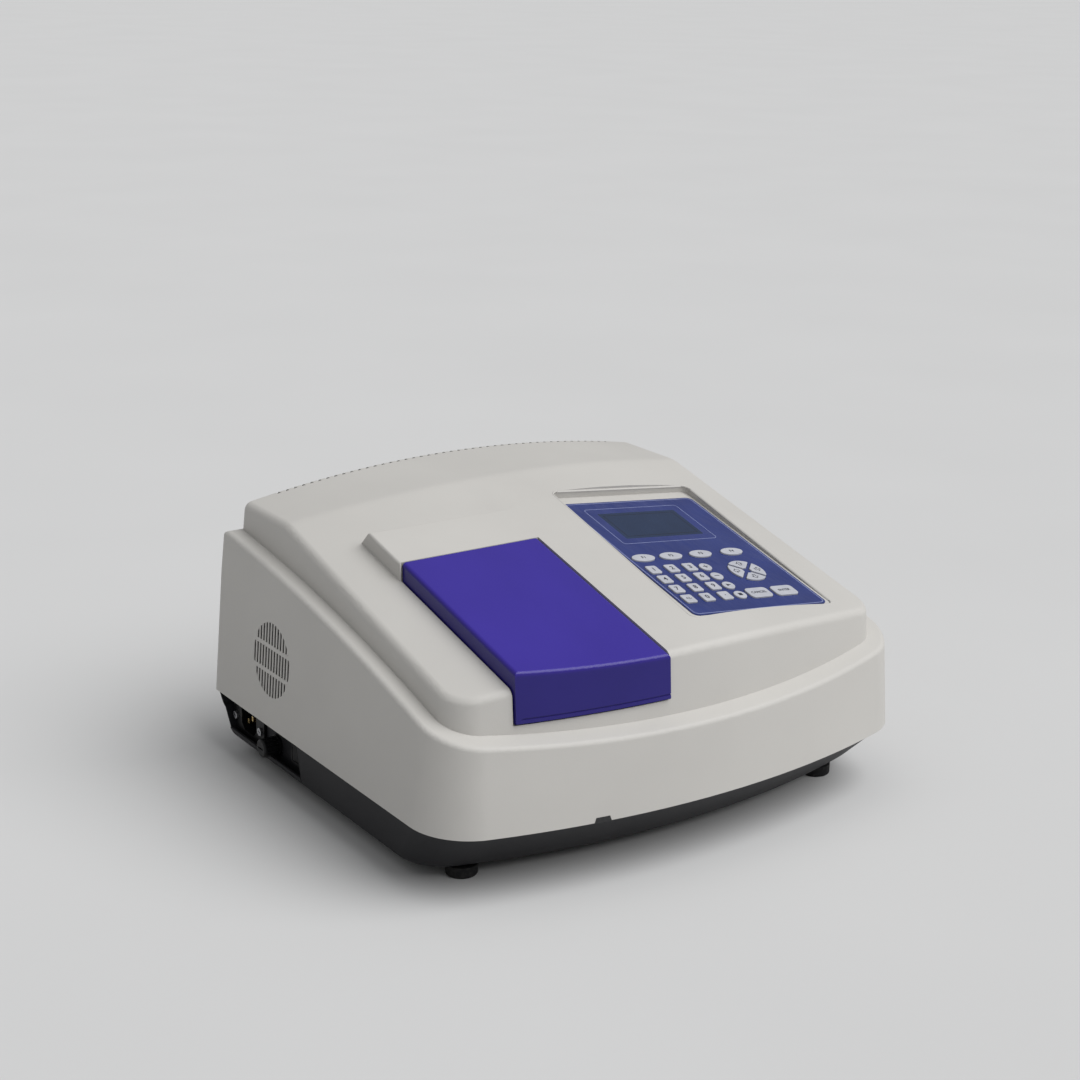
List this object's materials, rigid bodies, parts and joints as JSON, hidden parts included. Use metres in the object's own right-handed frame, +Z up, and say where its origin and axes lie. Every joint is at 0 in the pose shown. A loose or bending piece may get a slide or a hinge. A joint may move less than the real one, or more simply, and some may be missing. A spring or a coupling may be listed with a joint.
{
  "type": "uv-vis spectrophotometer",
  "caption": "Bench UV-VIS spectrophotometer with a crowned grey cover, hinged blue sample lid, sunk keypad with display, dark base tray, feet and inner optics.",
  "frame": {"origin": "on the bench, under the middle of the footprint", "axes": "+Z up, +X to the operator's right, the front faces -Y"},
  "size_m": [0.4, 0.3589, 0.209],
  "materials": {
    "cover_grey": "fine-grained moulded plastic",
    "tray_dark": "dark satin moulded plastic",
    "foot_rubber": "moulded rubber",
    "screw_steel": "bright steel",
    "lid_blue": "satin blue-violet moulded plastic",
    "bracket_steel": "zinc-plated",
    "seal_foam": "closed-cell foam",
    "chamber_black": "matt black paint",
    "cell_black": "black anodised",
    "motor_metal": "steel can",
    "overlay_blue": "blue printed film",
    "board_green": "green circuit board",
    "display_dark": "dark display bezel",
    "display_glass": "clear window",
    "inlet_black": "black moulded plastic",
    "pin_brass": "nickelled brass",
    "fan_black": "black moulded plastic",
    "bench_cast": "sand cast",
    "case_black": "matt black paint",
    "grating_mirror": "ruled mirror",
    "house_steel": "sheet steel",
    "lamp_glass": "quartz glass",
    "detector_metal": "black anodised",
    "key_grey": "pale grey keys"
  },
  "bodies": {
    "case": {"upper_cover": "cover_grey", "base_tray": "tray_dark", "feet": "foot_rubber", "cover_screws": "screw_steel", "inlet_screws": "screw_steel", "lid_hinge_rod": "screw_steel", "guide_rods": "screw_steel", "hinge_brackets": "bracket_steel", "lid_seal": "seal_foam", "sample_chamber": "chamber_black", "carriage_drive": "motor_metal", "keypad_overlay": "overlay_blue", "keypad_plate": "board_green", "main_board": "board_green", "lcd_module": "display_dark", "lcd_window": "display_glass", "power_inlet": "inlet_black", "fuse_holder": "inlet_black", "switch_frame": "inlet_black", "inlet_pins": "pin_brass", "fan_frame": "fan_black", "optical_bench": "bench_cast", "monochromator_case": "case_black", "lamp_house": "house_steel", "power_supply": "house_steel", "halogen_lamp": "lamp_glass", "deuterium_lamp": "lamp_glass", "detector_block": "detector_metal"},
    "lid": {"sample_lid": "lid_blue"},
    "carriage": {"cell_carriage": "cell_black"},
    "rocker": {"rocker_switch": "inlet_black"},
    "fuse_cap": {"fuse_cap": "inlet_black"},
    "fan": {"fan_rotor": "fan_black"},
    "grating": {"diffraction_grating": "grating_mirror"},
    "key_0_body": {"key_0": "key_grey"},
    "key_1_body": {"key_1": "key_grey"},
    "key_2_body": {"key_2": "key_grey"},
    "key_3_body": {"key_3": "key_grey"},
    "key_4_body": {"key_4": "key_grey"},
    "key_5_body": {"key_5": "key_grey"},
    "key_6_body": {"key_6": "key_grey"},
    "key_7_body": {"key_7": "key_grey"},
    "key_8_body": {"key_8": "key_grey"},
    "key_9_body": {"key_9": "key_grey"},
    "key_sign_body": {"key_sign": "key_grey"},
    "key_point_body": {"key_point": "key_grey"},
    "key_function_1_body": {"key_function_1": "key_grey"},
    "key_function_2_body": {"key_function_2": "key_grey"},
    "key_function_3_body": {"key_function_3": "key_grey"},
    "key_function_4_body": {"key_function_4": "key_grey"},
    "key_round_1_body": {"key_round_1": "key_grey"},
    "key_round_2_body": {"key_round_2": "key_grey"},
    "key_round_3_body": {"key_round_3": "key_grey"},
    "key_round_4_body": {"key_round_4": "key_grey"},
    "key_up_body": {"key_up": "key_grey"},
    "key_left_body": {"key_left": "key_grey"},
    "key_down_body": {"key_down": "key_grey"},
    "key_right_body": {"key_right": "key_grey"},
    "key_cancel_body": {"key_cancel": "key_grey"},
    "key_enter_body": {"key_enter": "key_grey"}
  },
  "joints": [
    {"name": "lid_hinge", "type": "hinge", "parent": "case", "child": "lid", "pos_m": [-0.085, -0.0185, 0.1763], "axis": [-1, 0, 0], "range_deg": [0, 85]},
    {"name": "carriage_slide", "type": "slide", "parent": "case", "child": "carriage", "axis": [0, -1, 0], "range_m": [0, 0.0432]},
    {"name": "rocker_tilt", "type": "hinge", "parent": "case", "child": "rocker", "pos_m": [-0.1825, 0.0675, 0.027], "axis": [0, 0, 1], "range_deg": [0, 16]},
    {"name": "fuse_cap_turn", "type": "hinge", "parent": "case", "child": "fuse_cap", "pos_m": [-0.185, 0.1025, 0.024], "axis": [1, 0, 0], "range_deg": [0, 60]},
    {"name": "fan_spin", "type": "hinge", "parent": "case", "child": "fan", "pos_m": [0.104, 0.1595, 0.099], "axis": [0, 1, 0], "continuous": true},
    {"name": "grating_turn", "type": "hinge", "parent": "case", "child": "grating", "pos_m": [0.093, 0.0275, 0.057], "axis": [0, 0, 1], "range_deg": [-12, 30]},
    {"name": "key_0_press", "type": "slide", "parent": "case", "child": "key_0_body", "axis": [-0.1009, 0.2161, -0.9712], "range_m": [0, 0.0004], "stiffness_N_per_m": 2500, "springref_m": -0.0002},
    {"name": "key_1_press", "type": "slide", "parent": "case", "child": "key_1_body", "axis": [-0.1009, 0.2161, -0.9712], "range_m": [0, 0.0004], "stiffness_N_per_m": 2500, "springref_m": -0.0002},
    {"name": "key_2_press", "type": "slide", "parent": "case", "child": "key_2_body", "axis": [-0.1009, 0.2161, -0.9712], "range_m": [0, 0.0004], "stiffness_N_per_m": 2500, "springref_m": -0.0002},
    {"name": "key_3_press", "type": "slide", "parent": "case", "child": "key_3_body", "axis": [-0.1009, 0.2161, -0.9712], "range_m": [0, 0.0004], "stiffness_N_per_m": 2500, "springref_m": -0.0002},
    {"name": "key_4_press", "type": "slide", "parent": "case", "child": "key_4_body", "axis": [-0.1009, 0.2161, -0.9712], "range_m": [0, 0.0004], "stiffness_N_per_m": 2500, "springref_m": -0.0002},
    {"name": "key_5_press", "type": "slide", "parent": "case", "child": "key_5_body", "axis": [-0.1009, 0.2161, -0.9712], "range_m": [0, 0.0004], "stiffness_N_per_m": 2500, "springref_m": -0.0002},
    {"name": "key_6_press", "type": "slide", "parent": "case", "child": "key_6_body", "axis": [-0.1009, 0.2161, -0.9712], "range_m": [0, 0.0004], "stiffness_N_per_m": 2500, "springref_m": -0.0002},
    {"name": "key_7_press", "type": "slide", "parent": "case", "child": "key_7_body", "axis": [-0.1009, 0.2161, -0.9712], "range_m": [0, 0.0004], "stiffness_N_per_m": 2500, "springref_m": -0.0002},
    {"name": "key_8_press", "type": "slide", "parent": "case", "child": "key_8_body", "axis": [-0.1009, 0.2161, -0.9712], "range_m": [0, 0.0004], "stiffness_N_per_m": 2500, "springref_m": -0.0002},
    {"name": "key_9_press", "type": "slide", "parent": "case", "child": "key_9_body", "axis": [-0.1009, 0.2161, -0.9712], "range_m": [0, 0.0004], "stiffness_N_per_m": 2500, "springref_m": -0.0002},
    {"name": "key_sign_press", "type": "slide", "parent": "case", "child": "key_sign_body", "axis": [-0.1009, 0.2161, -0.9712], "range_m": [0, 0.0004], "stiffness_N_per_m": 2500, "springref_m": -0.0002},
    {"name": "key_point_press", "type": "slide", "parent": "case", "child": "key_point_body", "axis": [-0.1009, 0.2161, -0.9712], "range_m": [0, 0.0004], "stiffness_N_per_m": 2500, "springref_m": -0.0002},
    {"name": "key_function_1_press", "type": "slide", "parent": "case", "child": "key_function_1_body", "axis": [-0.1009, 0.2161, -0.9712], "range_m": [0, 0.0004], "stiffness_N_per_m": 2500, "springref_m": -0.0002},
    {"name": "key_function_2_press", "type": "slide", "parent": "case", "child": "key_function_2_body", "axis": [-0.1009, 0.2161, -0.9712], "range_m": [0, 0.0004], "stiffness_N_per_m": 2500, "springref_m": -0.0002},
    {"name": "key_function_3_press", "type": "slide", "parent": "case", "child": "key_function_3_body", "axis": [-0.1009, 0.2161, -0.9712], "range_m": [0, 0.0004], "stiffness_N_per_m": 2500, "springref_m": -0.0002},
    {"name": "key_function_4_press", "type": "slide", "parent": "case", "child": "key_function_4_body", "axis": [-0.1009, 0.2161, -0.9712], "range_m": [0, 0.0004], "stiffness_N_per_m": 2500, "springref_m": -0.0002},
    {"name": "key_round_1_press", "type": "slide", "parent": "case", "child": "key_round_1_body", "axis": [-0.1009, 0.2161, -0.9712], "range_m": [0, 0.0004], "stiffness_N_per_m": 2500, "springref_m": -0.0002},
    {"name": "key_round_2_press", "type": "slide", "parent": "case", "child": "key_round_2_body", "axis": [-0.1009, 0.2161, -0.9712], "range_m": [0, 0.0004], "stiffness_N_per_m": 2500, "springref_m": -0.0002},
    {"name": "key_round_3_press", "type": "slide", "parent": "case", "child": "key_round_3_body", "axis": [-0.1009, 0.2161, -0.9712], "range_m": [0, 0.0004], "stiffness_N_per_m": 2500, "springref_m": -0.0002},
    {"name": "key_round_4_press", "type": "slide", "parent": "case", "child": "key_round_4_body", "axis": [-0.1009, 0.2161, -0.9712], "range_m": [0, 0.0004], "stiffness_N_per_m": 2500, "springref_m": -0.0002},
    {"name": "key_up_press", "type": "slide", "parent": "case", "child": "key_up_body", "axis": [-0.1009, 0.2161, -0.9712], "range_m": [0, 0.0004], "stiffness_N_per_m": 2500, "springref_m": -0.0002},
    {"name": "key_left_press", "type": "slide", "parent": "case", "child": "key_left_body", "axis": [-0.1009, 0.2161, -0.9712], "range_m": [0, 0.0004], "stiffness_N_per_m": 2500, "springref_m": -0.0002},
    {"name": "key_down_press", "type": "slide", "parent": "case", "child": "key_down_body", "axis": [-0.1009, 0.2161, -0.9712], "range_m": [0, 0.0004], "stiffness_N_per_m": 2500, "springref_m": -0.0002},
    {"name": "key_right_press", "type": "slide", "parent": "case", "child": "key_right_body", "axis": [-0.1009, 0.2161, -0.9712], "range_m": [0, 0.0004], "stiffness_N_per_m": 2500, "springref_m": -0.0002},
    {"name": "key_cancel_press", "type": "slide", "parent": "case", "child": "key_cancel_body", "axis": [-0.1009, 0.2161, -0.9712], "range_m": [0, 0.0004], "stiffness_N_per_m": 2500, "springref_m": -0.0002},
    {"name": "key_enter_press", "type": "slide", "parent": "case", "child": "key_enter_body", "axis": [-0.1009, 0.2161, -0.9712], "range_m": [0, 0.0004], "stiffness_N_per_m": 2500, "springref_m": -0.0002}
  ]
}
